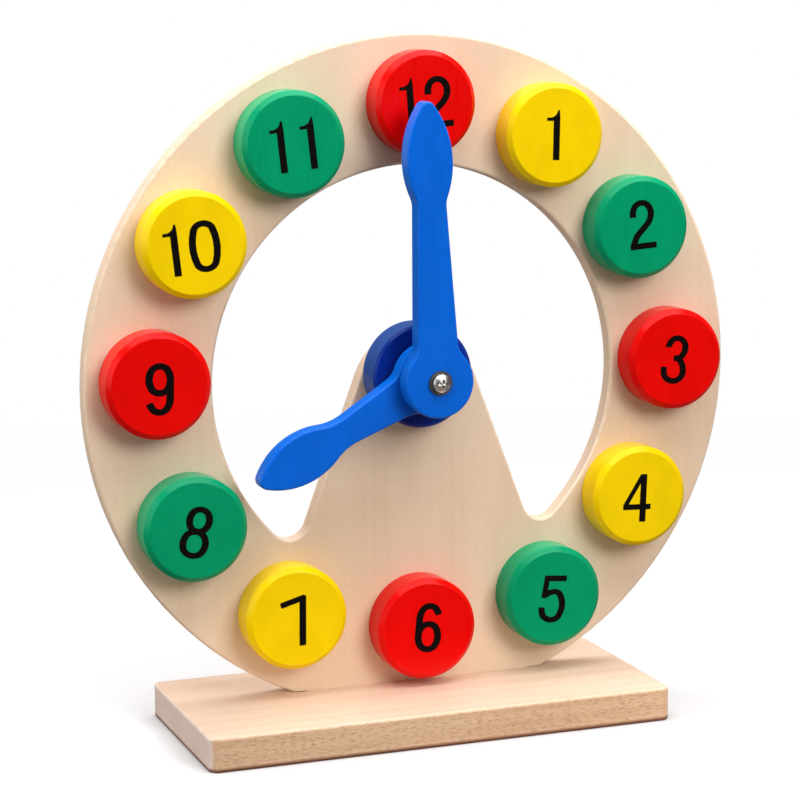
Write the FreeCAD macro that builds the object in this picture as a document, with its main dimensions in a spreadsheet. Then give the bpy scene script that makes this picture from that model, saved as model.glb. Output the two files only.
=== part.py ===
"""Wooden teaching clock: a ring dial on a base board, twelve number discs and two hands.

Millimetres, X to the right, Y to the back, Z up.
The origin is the middle of the underside, below the centre of the dial.
"""
import FreeCAD, Part
import math
import os
import Sketcher
from FreeCAD import Rotation, Vector

doc = FreeCAD.newDocument("TeachingClock")
sheet = doc.addObject("Spreadsheet::Sheet", "Sizes")

# ---------------------------------------------------------------- driving dimensions

SIZES = {
    # base board, solid beech
    "base_length": 148.5,
    "base_depth": 66.0,
    "base_thickness": 10.5,
    "base_shift": 5.0,              # how far the board's middle lies left of the dial's
    "base_corner_radius": 3.0,
    "base_edge_radius": 0.9,
    # slot in the board, and the plate's tenon that is glued into it
    "slot_length": 79.0,
    "slot_depth": 7.0,
    "slot_clearance": 0.05,
    "tenon_length": 74.0,
    "shoulder_gap": 0.2,
    # dial plate, plywood
    "dial_radius": 105.0,
    "ring_width": 39.5,
    "dial_sink": 8.5,               # how far the dial's circle would dip below the board's top
    "plate_thickness": 6.0,
    "plate_setback": 5.0,           # the plate's front face behind the board's middle
    "plate_edge_radius": 0.9,
    "tongue_top_radius": 19.8,
    "tongue_top_drop": 7.0,         # the tongue's round top is centred this far below the pivot
    "tongue_half_angle": 20.7,
    "valley_radius": 6.3,
    "centre_rise": 1.5,             # disc circle and pivot above the ring centre
    # number discs and their dowels
    "disc_radius": 16.0,
    "disc_height": 10.0,
    "disc_chamfer": 1.5,
    "disc_edge_radius": 0.35,
    "disc_inset": 21.5,             # from the dial's rim in to the circle of disc centres
    "dowel_radius": 3.0,
    "dowel_depth": 6.0,             # how far a dowel reaches into its disc
    "dowel_end_gap": 0.4,
    "glue_clearance": 0.05,
    # hub disc and washers
    "hub_radius": 16.0,
    "hub_height": 10.0,
    "hub_chamfer": 0.8,
    "hub_washer_radius": 6.0,
    "hub_washer_thickness": 1.5,
    "hand_washer_radius": 6.0,
    "hand_washer_thickness": 0.5,
    "metal_washer_radius": 3.7,
    "metal_washer_thickness": 0.5,
    "washer_bore_clearance": 0.1,
    # hands, plywood
    "hand_thickness": 6.0,
    "hand_edge_radius": 0.7,
    "hand_end_radius": 10.9,
    "hand_end_fillet": 7.0,
    "pivot_clearance": 0.08,        # radial, between the screw and a hand
    "running_gap": 0.1,             # along the screw, either side of a hand
    "pivot_shift": 1.7,             # how far the pivot lies left of the ring centre
    "minute_length": 84.0,
    "minute_tip_radius": 2.2,
    "minute_belly_at": 66.3,
    "minute_belly_half": 7.2,
    "minute_neck_at": 53.0,
    "minute_neck_half": 4.6,
    "minute_root_half": 6.2,
    "minute_turn": 357.75,          # degrees past twelve, as the clock is left standing
    "hour_length": 61.5,
    "hour_tip_radius": 2.6,
    "hour_belly_at": 45.8,
    "hour_belly_half": 7.4,
    "hour_neck_at": 30.5,
    "hour_neck_half": 4.3,
    "hour_root_half": 5.6,
    "hour_turn": 242.25,            # degrees past twelve, like the minute hand
    "hand_root_at": 16.0,           # where the width of a hand's root is measured
    # pivot screw M3 with its nylon-ring lock nut
    "screw_radius": 1.5,
    "screw_length": 35.0,
    "screw_end_chamfer": 0.3,
    "head_radius": 2.8,
    "head_height": 2.3,
    "head_rim_height": 1.0,         # the head's straight side, below its domed crown
    "head_rim_radius": 0.3,
    "recess_span": 3.0,
    "recess_width": 0.8,
    "recess_depth": 1.3,
    "nut_across_flats": 5.5,
    "nut_height": 2.8,
    "nut_corner_trim": 0.35,
    "collar_radius": 2.5,
    "collar_height": 1.2,
    "ring_radius": 2.1,
    "ring_thickness": 1.1,
    "thread_clearance": 0.04,
}

# discs that were glued a little off their marks: how far to the right, how far up
SLIPS = {
    1: (0.6, -0.4),
    2: (-0.6, 0.7),
    3: (0.5, 0.1),
    4: (-0.6, -1.5),
    5: (0.2, -0.8),
    6: (-0.7, 4.0),                 # raised to clear the base board
    7: (-1.2, 0.2),
    8: (-1.7, -0.3),
    9: (-0.9, 1.9),
    10: (-0.2, 1.3),
    11: (0.1, -0.7),
    12: (0.1, -0.9),
}

HOURS = range(1, 13)
HOUR_ANGLE = math.tau / 12
SAME_DIRECTION = 0.01               # radians
SAME_PLACE = 0.01


class Size:
    """A length or angle that keeps its number and the sheet expression it comes from."""

    def __init__(self, number, text):
        self.number = number
        self.text = text

    def __add__(self, other):
        return join(self, "+", other, self.number + number_of(other))

    def __sub__(self, other):
        return join(self, "-", other, self.number - number_of(other))

    def __mul__(self, other):
        return join(self, "*", other, self.number * number_of(other))

    def __truediv__(self, other):
        return join(self, "/", other, self.number / number_of(other))

    def __neg__(self):
        return Size(-self.number, f"-({self.text})")


def hypotenuse(a, b):
    return Size(math.hypot(a.number, b.number), f"sqrt(({a.text}) ^ 2 + ({b.text}) ^ 2)")


def number_of(value):
    return value.number if isinstance(value, Size) else value


def text_of(value):
    return value.text if isinstance(value, Size) else repr(value)


def join(left, sign, right, number):
    return Size(number, f"({text_of(left)} {sign} {text_of(right)})")


class Sheet:
    """The spreadsheet's aliases, read as attributes."""

    def __init__(self):
        self.row = 0

    def write(self, alias, number):
        self.row += 1
        sheet.set(f"A{self.row}", alias)
        sheet.set(f"B{self.row}", str(number))
        sheet.setAlias(f"B{self.row}", alias)
        setattr(self, alias, Size(number, f"Sizes.{alias}"))


s = Sheet()
for alias, number in SIZES.items():
    s.write(alias, number)
for hour, (right, up) in SLIPS.items():
    s.write(f"slip_right_{hour}", right)
    s.write(f"slip_up_{hour}", up)
doc.recompute()


# ---------------------------------------------------------------- helpers

parts = []


def bind(item, path, value):
    item.setExpression(path, text_of(value))


def place(item, right=0.0, back=0.0, up=0.0):
    """Put an object at a point given by sheet values."""
    item.Placement.Base = Vector(number_of(right), number_of(back), number_of(up))
    for axis, value in zip("xyz", (right, back, up)):
        if isinstance(value, Size):
            bind(item, f"Placement.Base.{axis}", value)


def new_body(label):
    body = doc.addObject("PartDesign::Body", label.title().replace("_", ""))
    body.Label = label
    parts.append(body)
    return body


def new_sketch(body, role, name, lift=None):
    """A sketch on one of the body's own planes, lifted off it where asked."""
    plane = next(item for item in body.Origin.OriginFeatures if item.Role == role)
    sketch = body.newObject("Sketcher::SketchObject", name)
    sketch.AttachmentSupport = (plane, [""])
    sketch.MapMode = "FlatFace"
    if lift is not None:
        bind(sketch, "AttachmentOffset.Base.z", lift)
    return sketch


def drive(sketch, kind, value, *where):
    """A dimension in a sketch, bound to the sheet."""
    index = sketch.addConstraint(Sketcher.Constraint(kind, *where, number_of(value)))
    bind(sketch, f"Constraints[{index}]", value)


def put_point(sketch, geometry, position, across, upward):
    """Hold one point of a sketch at sheet values from its origin."""
    for kind, axis, value in (("DistanceX", -2, across), ("DistanceY", -1, upward)):
        if isinstance(value, Size):
            drive(sketch, kind, value, -1, 1, geometry, position)
        else:
            sketch.addConstraint(Sketcher.Constraint("PointOnObject", geometry, position, axis))


def polygon(sketch, corners):
    """A closed outline of straight lines through corners given as sheet values."""
    spots = [Vector(number_of(across), number_of(upward)) for across, upward in corners]
    lines = []
    for start, end in zip(spots, spots[1:] + spots[:1]):
        lines.append(sketch.addGeometry(Part.LineSegment(start, end)))
    for line, following in zip(lines, lines[1:] + lines[:1]):
        sketch.addConstraint(Sketcher.Constraint("Coincident", line, 2, following, 1))
    for line, (across, upward) in zip(lines, corners):
        put_point(sketch, line, 1, across, upward)


def circle(sketch, across, upward, radius):
    centre = Vector(number_of(across), number_of(upward))
    index = sketch.addGeometry(Part.Circle(centre, Vector(0, 0, 1), number_of(radius)))
    drive(sketch, "Radius", radius, index)
    put_point(sketch, index, 3, across, upward)


def arc(sketch, centre, start, end):
    """An arc, counter-clockwise from start to end; returns its number in the sketch."""
    first = math.atan2(start.y - centre.y, start.x - centre.x)
    last = math.atan2(end.y - centre.y, end.x - centre.x)
    ring = Part.Circle(centre, Vector(0, 0, 1), start.distanceToPoint(centre))
    return sketch.addGeometry(Part.ArcOfCircle(ring, first, last if last > first else last + math.tau))


def pad(body, sketch, length, backward=False):
    feature = body.newObject("PartDesign::Pad", sketch.Name + "Pad")
    feature.Profile = sketch
    feature.Reversed = backward
    bind(feature, "Length", length)
    doc.recompute()
    return feature


def pocket(body, sketch, depth, reverse=False):
    """A pocket that must take something away."""
    before = body.Shape.Volume
    feature = body.newObject("PartDesign::Pocket", sketch.Name + "Pocket")
    feature.Profile = sketch
    feature.Reversed = reverse
    bind(feature, "Length", depth)
    doc.recompute()
    if not body.Shape.Volume < before:
        raise ValueError(sketch.Name + " cuts nothing")
    return feature


def revolve(body, sketch):
    feature = body.newObject("PartDesign::Revolution", sketch.Name + "Turned")
    feature.Profile = sketch
    feature.ReferenceAxis = (sketch, ["V_Axis"])
    feature.Angle = 360.0
    doc.recompute()
    return feature


def soften(body, feature, edges, radius):
    """Round some edges of a feature, named one by one or as all the edges of a face."""
    fillet = body.newObject("PartDesign::Fillet", feature.Name + "Soft")
    fillet.Base = (feature, edges)
    bind(fillet, "Radius", radius)
    doc.recompute()
    return fillet


def faces_towards(feature, *directions):
    """Names of the flat faces whose outward normal is one of the directions."""
    names = []
    for index, face in enumerate(feature.Shape.Faces, start=1):
        if not isinstance(face.Surface, Part.Plane):
            continue
        normal = face.normalAt(0, 0)
        if any(normal.getAngle(direction) < SAME_DIRECTION for direction in directions):
            names.append(f"Face{index}")
    return names


FRONT = Vector(0, -1, 0)
BACK = Vector(0, 1, 0)
UP = Vector(0, 0, 1)
DOWN = Vector(0, 0, -1)

# places that several pieces share
plate_front = s.plate_setback
plate_back = s.plate_setback + s.plate_thickness
board_top_to_centre = s.dial_radius - s.dial_sink
opening_radius = s.dial_radius - s.ring_width
disc_circle_radius = s.dial_radius - s.disc_inset
ring_centre_up = s.base_thickness + board_top_to_centre
pivot_right = -s.pivot_shift
pivot_up = ring_centre_up + s.centre_rise


# ---------------------------------------------------------------- base board

def base_board():
    body = new_body("base_board")
    half_length = s.base_length / 2
    half_depth = s.base_depth / 2
    outline = new_sketch(body, "XY_Plane", "BoardOutline")
    polygon(outline, [
        (-half_length, -half_depth),
        (half_length, -half_depth),
        (half_length, half_depth),
        (-half_length, half_depth),
    ])
    board = pad(body, outline, s.base_thickness)
    corners = [
        f"Edge{index}" for index, edge in enumerate(board.Shape.Edges, start=1)
        if edge.BoundBox.ZLength > SAME_PLACE
    ]
    rounded = soften(body, board, corners, s.base_corner_radius)
    soften(body, rounded, faces_towards(rounded, UP, DOWN), s.base_edge_radius)
    slot = new_sketch(body, "XY_Plane", "Slot", s.base_thickness)
    left = s.base_shift - s.slot_length / 2
    right = s.base_shift + s.slot_length / 2
    front = plate_front - s.slot_clearance
    back = plate_back + s.slot_clearance
    polygon(slot, [(left, front), (right, front), (right, back), (left, back)])
    pocket(body, slot, s.slot_depth)
    place(body, right=-s.base_shift)


# ---------------------------------------------------------------- dial plate

shoulder = s.shoulder_gap - board_top_to_centre


def dial_outline(body):
    """The ring's outer circle, cut flat below at the shoulders, with the tenon under it."""
    sketch = new_sketch(body, "XZ_Plane", "DialOutline")
    foot = -(board_top_to_centre + s.slot_depth)
    half_tenon = s.tenon_length / 2
    half_shoulder = math.sqrt(s.dial_radius.number ** 2 - shoulder.number ** 2)
    ends = [
        Vector(-half_shoulder, shoulder.number),
        Vector(-half_tenon.number, shoulder.number),
        Vector(-half_tenon.number, foot.number),
        Vector(half_tenon.number, foot.number),
        Vector(half_tenon.number, shoulder.number),
        Vector(half_shoulder, shoulder.number),
    ]
    lines = [sketch.addGeometry(Part.LineSegment(a, b)) for a, b in zip(ends, ends[1:])]
    rim = arc(sketch, Vector(0, 0), ends[-1], ends[0])
    for line, following in zip(lines, lines[1:]):
        sketch.addConstraint(Sketcher.Constraint("Coincident", line, 2, following, 1))
    sketch.addConstraint(Sketcher.Constraint("Coincident", lines[-1], 2, rim, 1))
    sketch.addConstraint(Sketcher.Constraint("Coincident", rim, 2, lines[0], 1))
    sketch.addConstraint(Sketcher.Constraint("Coincident", rim, 3, -1, 1))
    drive(sketch, "Radius", s.dial_radius, rim)
    put_point(sketch, lines[1], 1, -half_tenon, shoulder)
    put_point(sketch, lines[2], 1, -half_tenon, foot)
    put_point(sketch, lines[3], 1, half_tenon, foot)
    put_point(sketch, lines[4], 1, half_tenon, shoulder)
    sketch.addConstraint(Sketcher.Constraint("Horizontal", lines[0]))
    sketch.addConstraint(Sketcher.Constraint("Horizontal", lines[4]))
    return sketch


def opening_outline(body):
    """The horseshoe opening: a circle, less a tongue with a round top and straight sides."""
    sketch = new_sketch(body, "XZ_Plane", "Opening")
    opening = opening_radius.number
    top = s.tongue_top_radius.number
    valley = s.valley_radius.number
    top_up = s.centre_rise - s.tongue_top_drop
    lean = math.radians(s.tongue_half_angle.number)
    # the right side of the tongue: its direction downwards, and the way out of the wood
    along = Vector(math.sin(lean), -math.cos(lean))
    outward = Vector(math.cos(lean), math.sin(lean))
    tongue_centre = Vector(0, top_up.number)
    side_top = tongue_centre + outward * top
    # the valley's centre is its radius away from the side and from the opening's circle
    start = tongue_centre + outward * (top + valley)
    reach = -start.dot(along) + math.sqrt(
        start.dot(along) ** 2 - start.dot(start) + (opening - valley) ** 2)
    valley_centre = start + along * reach
    side_foot = valley_centre - outward * valley
    rim_point = valley_centre * (opening / (opening - valley))

    def mirrored(point):
        return Vector(-point.x, point.y)

    tongue = arc(sketch, tongue_centre, side_top, mirrored(side_top))
    rim = arc(sketch, Vector(0, 0), rim_point, mirrored(rim_point))
    right_side = sketch.addGeometry(Part.LineSegment(side_top, side_foot))
    left_side = sketch.addGeometry(Part.LineSegment(mirrored(side_top), mirrored(side_foot)))
    right_valley = arc(sketch, valley_centre, side_foot, rim_point)
    left_valley = arc(sketch, mirrored(valley_centre), mirrored(rim_point), mirrored(side_foot))
    meetings = [
        (tongue, 1, right_side, 1),
        (tongue, 2, left_side, 1),
        (right_side, 2, right_valley, 1),
        (left_side, 2, left_valley, 2),
        (right_valley, 2, rim, 1),
        (left_valley, 1, rim, 2),
    ]
    for meeting in meetings:
        sketch.addConstraint(Sketcher.Constraint("Tangent", *meeting))
    sketch.addConstraint(Sketcher.Constraint("Coincident", rim, 3, -1, 1))
    put_point(sketch, tongue, 3, 0.0, top_up)
    drive(sketch, "Radius", s.tongue_top_radius, tongue)
    drive(sketch, "Radius", opening_radius, rim)
    drive(sketch, "Radius", s.valley_radius, right_valley)
    sketch.addConstraint(Sketcher.Constraint("Equal", right_valley, left_valley))
    sketch.addConstraint(Sketcher.Constraint("Equal", right_side, left_side))
    angle = sketch.addConstraint(Sketcher.Constraint("Angle", left_side, 1, right_side, 1, 2 * lean))
    bind(sketch, f"Constraints[{angle}]", s.tongue_half_angle * 2)
    return sketch


def disc_place(hour):
    """Where a number disc's centre lies from the ring centre: to the right, and up."""
    right = getattr(s, f"slip_right_{hour}", 0.0)
    up = getattr(s, f"slip_up_{hour}", 0.0)
    turn = hour * HOUR_ANGLE
    across = disc_circle_radius * math.sin(turn) + right
    upward = disc_circle_radius * math.cos(turn) + s.centre_rise + up
    return across, upward


def dial_plate():
    """The sawn plate; its edges are softened down to the shoulders, the tenon's stay sharp."""
    body = new_body("dial_plate")
    pad(body, dial_outline(body), s.plate_thickness, backward=True)
    opened = pocket(body, opening_outline(body), s.plate_thickness)
    edges = [
        f"Edge{index}" for index, edge in enumerate(opened.Shape.Edges, start=1)
        if edge.BoundBox.YLength < SAME_PLACE
        and edge.BoundBox.ZMax > shoulder.number + SAME_PLACE
    ]
    soften(body, opened, edges, s.plate_edge_radius)
    holes = new_sketch(body, "XZ_Plane", "PlateHoles")
    circle(holes, pivot_right, s.centre_rise, s.screw_radius + s.washer_bore_clearance)
    for hour in HOURS:
        across, upward = disc_place(hour)
        circle(holes, across, upward, s.dowel_radius + s.glue_clearance)
    pocket(body, holes, s.plate_thickness)
    place(body, back=plate_front, up=ring_centre_up)


# ---------------------------------------------------------------- number discs and dowels

def turned_disc(label, radius, height, chamfer, bore, bore_depth):
    """A turned disc with a chamfered front edge and a bore from the back; front is -Y."""
    body = new_body(label)
    profile = new_sketch(body, "XY_Plane", body.Name + "Profile")
    through = bore_depth is height
    corners = [
        (bore, 0.0),
        (radius, 0.0),
        (radius, chamfer - height),
        (radius - chamfer, -height),
    ]
    if through:
        corners += [(bore, -height)]
    else:
        corners += [(0.0, -height), (0.0, -bore_depth), (bore, -bore_depth)]
    polygon(profile, corners)
    disc = revolve(body, profile)
    cones = [
        f"Face{index}" for index, face in enumerate(disc.Shape.Faces, start=1)
        if isinstance(face.Surface, Part.Cone)
    ]
    soften(body, disc, cones, s.disc_edge_radius)
    return body


def number_discs():
    for hour in HOURS:
        disc = turned_disc(
            f"number_disc_{hour:02d}", s.disc_radius, s.disc_height, s.disc_chamfer,
            s.dowel_radius + s.glue_clearance, s.dowel_depth + s.dowel_end_gap)
        across, upward = disc_place(hour)
        place(disc, across, plate_front, ring_centre_up + upward)


def disc_dowels():
    """Twelve equal dowels, from the back of the plate into the discs."""
    dowels = []
    for hour in HOURS:
        dowel = doc.addObject("Part::Cylinder", f"Dowel{hour}")
        bind(dowel, "Radius", s.dowel_radius)
        bind(dowel, "Height", s.plate_thickness + s.dowel_depth)
        dowel.Placement.Rotation = Rotation(Vector(1, 0, 0), 90)
        across, upward = disc_place(hour)
        place(dowel, across, plate_back, ring_centre_up + upward)
        dowels.append(dowel)
    group = doc.addObject("Part::Compound", "DiscDowels")
    group.Links = dowels
    group.Label = "disc_dowels"
    parts.append(group)


# ---------------------------------------------------------------- the stack on the pivot

hub_front = plate_front - s.hub_height
hub_washer_front = hub_front - s.hub_washer_thickness
hour_back = hub_washer_front - s.running_gap
hour_front = hour_back - s.hand_thickness
hand_washer_back = hour_front - s.running_gap
hand_washer_front = hand_washer_back - s.hand_washer_thickness
minute_back = hand_washer_front - s.running_gap
minute_front = minute_back - s.hand_thickness
front_washer_back = minute_front - s.running_gap
head_back = front_washer_back - s.metal_washer_thickness
nut_front = plate_back + s.metal_washer_thickness


def hub_disc():
    bore = s.screw_radius + s.washer_bore_clearance
    hub = turned_disc("hub_disc", s.hub_radius, s.hub_height, s.hub_chamfer, bore, s.hub_height)
    place(hub, pivot_right, plate_front, pivot_up)


def washer(label, radius, thickness, back):
    """A flat ring on the pivot, from its back face towards the front."""
    body = new_body(label)
    outline = new_sketch(body, "XZ_Plane", body.Name + "Outline")
    circle(outline, 0.0, 0.0, radius)
    circle(outline, 0.0, 0.0, s.screw_radius + s.washer_bore_clearance)
    pad(body, outline, thickness)
    place(body, pivot_right, back, pivot_up)


def washers():
    washer("hub_washer", s.hub_washer_radius, s.hub_washer_thickness, hub_front)
    washer("hand_washer", s.hand_washer_radius, s.hand_washer_thickness, hand_washer_back)
    washer("front_washer", s.metal_washer_radius, s.metal_washer_thickness, front_washer_back)
    washer("back_washer", s.metal_washer_radius, s.metal_washer_thickness, nut_front)


# ---------------------------------------------------------------- hands

def hand_half(body, length, tip_radius, belly_at, belly_half, neck_at, neck_half, root_half):
    """Right half of a hand that points up: round end, tapered shank, neck and leaf.

    Every joint of two curves is tangent. The belly is the widest place of the leaf,
    the neck the narrowest of the shank, and the root where the shank meets the round end.
    """
    sketch = new_sketch(body, "XZ_Plane", body.Name + "Half")
    end_radius = s.hand_end_radius.number
    fillet = s.hand_end_fillet.number
    tip = tip_radius.number
    belly = Vector(belly_half.number, belly_at.number)
    neck = Vector(neck_half.number, neck_at.number)
    root = Vector(root_half.number, s.hand_root_at.number)
    tip_centre = Vector(0, length.number - tip)
    # the leaf's side arc touches the tip's circle from outside and stands upright at the belly
    climb = tip_centre.y - belly.y
    side_radius = (belly.x ** 2 + climb ** 2 - tip ** 2) / (2 * (belly.x - tip))
    side_centre = belly - Vector(side_radius, 0)
    # the neck's hollow arc touches the side arc and stands upright at the neck
    narrowing = belly.x - neck.x
    rise = belly.y - neck.y
    neck_radius = (rise ** 2 + narrowing ** 2) / (2 * narrowing) - side_radius
    neck_centre = neck + Vector(neck_radius, 0)
    tip_to_side = side_centre + (tip_centre - side_centre).normalize() * side_radius
    side_to_neck = side_centre + (neck_centre - side_centre).normalize() * side_radius
    # the shank's edge touches the neck's arc and passes through the root
    sight = neck_centre - root
    swing = math.asin(neck_radius / sight.Length) + math.atan2(sight.y, sight.x)
    along = Vector(math.cos(swing), math.sin(swing))
    aside = Vector(along.y, -along.x)
    neck_to_shank = root + along * math.sqrt(sight.Length ** 2 - neck_radius ** 2)
    # the fillet at the root touches the shank's edge and the round end
    start = root + aside * fillet
    reach = -start.dot(along) + math.sqrt(
        start.dot(along) ** 2 - start.dot(start) + (end_radius + fillet) ** 2)
    fillet_centre = start + along * reach
    shank_to_fillet = fillet_centre - aside * fillet
    fillet_to_end = fillet_centre * (end_radius / (end_radius + fillet))
    top = Vector(0, length.number)
    bottom = Vector(0, -end_radius)

    spine = sketch.addGeometry(Part.LineSegment(top, bottom))
    tip_arc = arc(sketch, tip_centre, tip_to_side, top)
    side_arc = arc(sketch, side_centre, side_to_neck, tip_to_side)
    neck_arc = arc(sketch, neck_centre, side_to_neck, neck_to_shank)
    shank = sketch.addGeometry(Part.LineSegment(neck_to_shank, shank_to_fillet))
    fillet_arc = arc(sketch, fillet_centre, shank_to_fillet, fillet_to_end)
    end_arc = arc(sketch, Vector(0, 0), bottom, fillet_to_end)
    marks = [sketch.addGeometry(Part.Point(point), True) for point in (belly, neck, root)]

    for geometry, position in ((spine, 1), (spine, 2), (tip_arc, 3)):
        sketch.addConstraint(Sketcher.Constraint("PointOnObject", geometry, position, -2))
    sketch.addConstraint(Sketcher.Constraint("Coincident", tip_arc, 2, spine, 1))
    sketch.addConstraint(Sketcher.Constraint("Coincident", end_arc, 1, spine, 2))
    sketch.addConstraint(Sketcher.Constraint("Coincident", end_arc, 3, -1, 1))
    meetings = [
        (tip_arc, 1, side_arc, 2),
        (side_arc, 1, neck_arc, 1),
        (neck_arc, 2, shank, 1),
        (shank, 2, fillet_arc, 1),
        (fillet_arc, 2, end_arc, 2),
    ]
    for meeting in meetings:
        sketch.addConstraint(Sketcher.Constraint("Tangent", *meeting))
    for mark, curve in zip(marks, (side_arc, neck_arc, shank)):
        sketch.addConstraint(Sketcher.Constraint("PointOnObject", mark, 1, curve))
    for mark, curve in zip(marks, (side_arc, neck_arc)):
        sketch.addConstraint(Sketcher.Constraint("Horizontal", mark, 1, curve, 3))
    put_point(sketch, marks[0], 1, belly_half, belly_at)
    put_point(sketch, marks[1], 1, neck_half, neck_at)
    put_point(sketch, marks[2], 1, root_half, s.hand_root_at)
    drive(sketch, "Radius", s.hand_end_radius, end_arc)
    drive(sketch, "Radius", s.hand_end_fillet, fillet_arc)
    drive(sketch, "Radius", tip_radius, tip_arc)
    drive(sketch, "DistanceY", length, -1, 1, spine, 1)
    return sketch


def hand(label, back, turn, *outline):
    """A hand sawn from plywood, with softened edges and a running bore for the screw."""
    body = new_body(label)
    sketch = hand_half(body, *outline)
    half = pad(body, sketch, s.hand_thickness)
    whole = body.newObject("PartDesign::Mirrored", body.Name + "Whole")
    whole.Originals = [half]
    whole.MirrorPlane = (sketch, ["V_Axis"])
    body.Tip = whole
    doc.recompute()
    soften(body, whole, faces_towards(whole, FRONT, BACK), s.hand_edge_radius)
    bore = new_sketch(body, "XZ_Plane", body.Name + "Bore")
    circle(bore, 0.0, 0.0, s.screw_radius + s.pivot_clearance)
    pocket(body, bore, s.hand_thickness, reverse=True)
    body.Placement.Rotation = Rotation(Vector(0, 1, 0), turn.number)
    place(body, pivot_right, back, pivot_up)
    bind(body, "Placement.Rotation.Angle", turn)


def hands():
    hand(
        "hour_hand", hour_back, s.hour_turn, s.hour_length, s.hour_tip_radius,
        s.hour_belly_at, s.hour_belly_half, s.hour_neck_at, s.hour_neck_half, s.hour_root_half)
    hand(
        "minute_hand", minute_back, s.minute_turn, s.minute_length, s.minute_tip_radius,
        s.minute_belly_at, s.minute_belly_half, s.minute_neck_at, s.minute_neck_half,
        s.minute_root_half)


# ---------------------------------------------------------------- screw and lock nut

def screw_profile(body):
    """Right half of the screw: shank, flat underside of the head, its straight rim and domed crown."""
    sketch = new_sketch(body, "XY_Plane", "ScrewProfile")
    crown = s.head_height.number - s.head_rim_height.number
    dome = (s.head_radius.number ** 2 + crown ** 2) / (2 * crown)
    corners = [
        (s.head_radius, -s.head_rim_height),
        (s.head_radius, 0.0),
        (s.screw_radius, 0.0),
        (s.screw_radius, s.screw_length - s.screw_end_chamfer),
        (s.screw_radius - s.screw_end_chamfer, s.screw_length),
        (0.0, s.screw_length),
        (0.0, -s.head_height),
    ]
    spots = [Vector(number_of(across), number_of(upward)) for across, upward in corners]
    lines = [sketch.addGeometry(Part.LineSegment(a, b)) for a, b in zip(spots, spots[1:])]
    face = arc(sketch, Vector(0, dome - s.head_height.number), spots[-1], spots[0])
    for line, following in zip(lines, lines[1:]):
        sketch.addConstraint(Sketcher.Constraint("Coincident", line, 2, following, 1))
    sketch.addConstraint(Sketcher.Constraint("Coincident", lines[-1], 2, face, 1))
    sketch.addConstraint(Sketcher.Constraint("Coincident", face, 2, lines[0], 1))
    sketch.addConstraint(Sketcher.Constraint("PointOnObject", face, 3, -2))
    for line, (across, upward) in zip(lines, corners):
        put_point(sketch, line, 1, across, upward)
    put_point(sketch, lines[-1], 2, *corners[-1])
    return sketch


def pivot_screw():
    """Pan-head screw; the underside of its head is at its own Y = 0, the head in front."""
    body = new_body("pivot_screw")
    turned = revolve(body, screw_profile(body))
    rim = [
        f"Edge{index}" for index, edge in enumerate(turned.Shape.Edges, start=1)
        if abs(edge.BoundBox.YMax + s.head_rim_height.number) < SAME_PLACE
        and edge.BoundBox.YLength < SAME_PLACE
    ]
    soften(body, turned, rim, s.head_rim_radius)
    recess = new_sketch(body, "XZ_Plane", "CrossRecess", s.head_height)
    reach = s.recess_span / 2
    half = s.recess_width / 2
    polygon(recess, [
        (half, half), (half, reach), (-half, reach), (-half, half),
        (-reach, half), (-reach, -half), (-half, -half), (-half, -reach),
        (half, -reach), (half, -half), (reach, -half), (reach, half),
    ])
    pocket(body, recess, s.recess_depth)
    place(body, pivot_right, head_back, pivot_up)


def lock_nut():
    """Hexagon nut with a round collar at the back, which holds the nylon ring."""
    corner_radius = s.nut_across_flats / math.sqrt(3)
    hexagon = doc.addObject("Part::Prism", "NutHexagon")
    hexagon.Polygon = 6
    bind(hexagon, "Circumradius", corner_radius)
    bind(hexagon, "Height", s.nut_height)
    ball = doc.addObject("Part::Sphere", "NutChamferBall")
    bind(ball, "Radius", hypotenuse(corner_radius, s.nut_height / 2 - s.nut_corner_trim))
    place(ball, up=s.nut_height / 2)
    blank = doc.addObject("Part::Common", "NutBlank")
    blank.Base = hexagon
    blank.Tool = ball
    collar = doc.addObject("Part::Cylinder", "NutCollar")
    bind(collar, "Radius", s.collar_radius)
    bind(collar, "Height", s.nut_height + s.collar_height)
    solid = doc.addObject("Part::Fuse", "NutSolid")
    solid.Base = blank
    solid.Tool = collar
    thread = doc.addObject("Part::Cylinder", "NutThread")
    bind(thread, "Radius", s.screw_radius + s.thread_clearance)
    bind(thread, "Height", s.nut_height + s.collar_height)
    seat = doc.addObject("Part::Cylinder", "NutRingSeat")
    bind(seat, "Radius", s.ring_radius)
    bind(seat, "Height", s.collar_height)
    place(seat, up=s.nut_height)
    bored = doc.addObject("Part::Cut", "NutBored")
    bored.Base = solid
    bored.Tool = thread
    nut = doc.addObject("Part::Cut", "LockNut")
    nut.Base = bored
    nut.Tool = seat
    nut.Label = "lock_nut"
    nut.Placement.Rotation = Rotation(Vector(1, 0, 0), -90)
    place(nut, pivot_right, nut_front, pivot_up)
    parts.append(nut)

    body = new_body("lock_nut_ring")
    outline = new_sketch(body, "XZ_Plane", "RingOutline")
    circle(outline, 0.0, 0.0, s.ring_radius)
    circle(outline, 0.0, 0.0, s.screw_radius + s.thread_clearance)
    pad(body, outline, s.ring_thickness, backward=True)
    place(body, pivot_right, nut_front + s.nut_height, pivot_up)


# ---------------------------------------------------------------- build, check, write

base_board()
dial_plate()
number_discs()
disc_dowels()
hub_disc()
washers()
hands()
pivot_screw()
lock_nut()
doc.recompute()

for item in doc.Objects:
    if "Invalid" in item.State or "Error" in item.State:
        raise ValueError(f"{item.Name} failed: {item.State}")
for part in parts:
    if part.Shape.isNull() or not part.Shape.isValid():
        raise ValueError(f"{part.Label} has no valid shape")

os.makedirs("parts", exist_ok=True)
for part in parts:
    part.Shape.exportStep(f"parts/{part.Label}.step")
print(f"{len(parts)} nodes written")
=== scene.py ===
"""Looks of a wooden teaching clock.

A ring dial stands in a slotted base board, with twelve painted number discs, a hub disc and two hands.
"""

import math

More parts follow.
